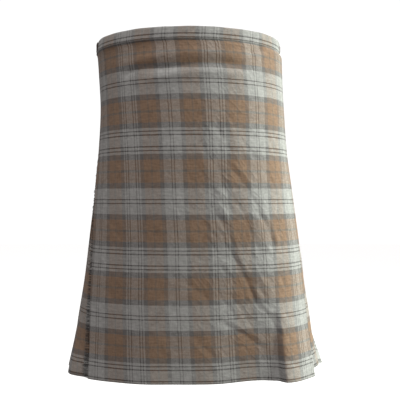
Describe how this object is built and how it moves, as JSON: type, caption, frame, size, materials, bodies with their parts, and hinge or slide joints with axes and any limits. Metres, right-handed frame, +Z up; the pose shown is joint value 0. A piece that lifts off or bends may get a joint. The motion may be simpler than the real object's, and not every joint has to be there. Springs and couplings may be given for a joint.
{
  "type": "scottish kilt",
  "caption": "Wrapped knee-length tartan kilt, filled out and hollow, with a fringed over apron, an under apron, a knife-pleated back, a narrow waistband and leather side straps.",
  "frame": {"origin": "the middle of the waist opening, 25 mm below the waistband's top edge", "axes": "+Z up along the wearer's body, -Y to the front of the kilt, +X to the wearer's left"},
  "size_m": [0.4928, 0.3008, 0.61],
  "materials": {
    "tartan": "soft brushed twill tartan in light grey, dark grey and brown, matt",
    "fringe_yarn": "loose woollen yarn ends of the tartan",
    "strap_leather": "black grained leather, satin",
    "buckle_metal": "polished nickel plate, lightly scuffed"
  },
  "bodies": {
    "root": {"over_apron": "tartan", "under_apron": "tartan", "pleats": "tartan", "fringe": "fringe_yarn", "waistband": "tartan", "strap_over_apron": "strap_leather", "buckle_right_frame": "buckle_metal", "buckle_right_tongue": "buckle_metal", "buckle_right_tab": "strap_leather", "strap_under_apron": "strap_leather", "buckle_left_frame": "buckle_metal", "buckle_left_tongue": "buckle_metal", "buckle_left_tab": "strap_leather"}
  },
  "joints": []
}
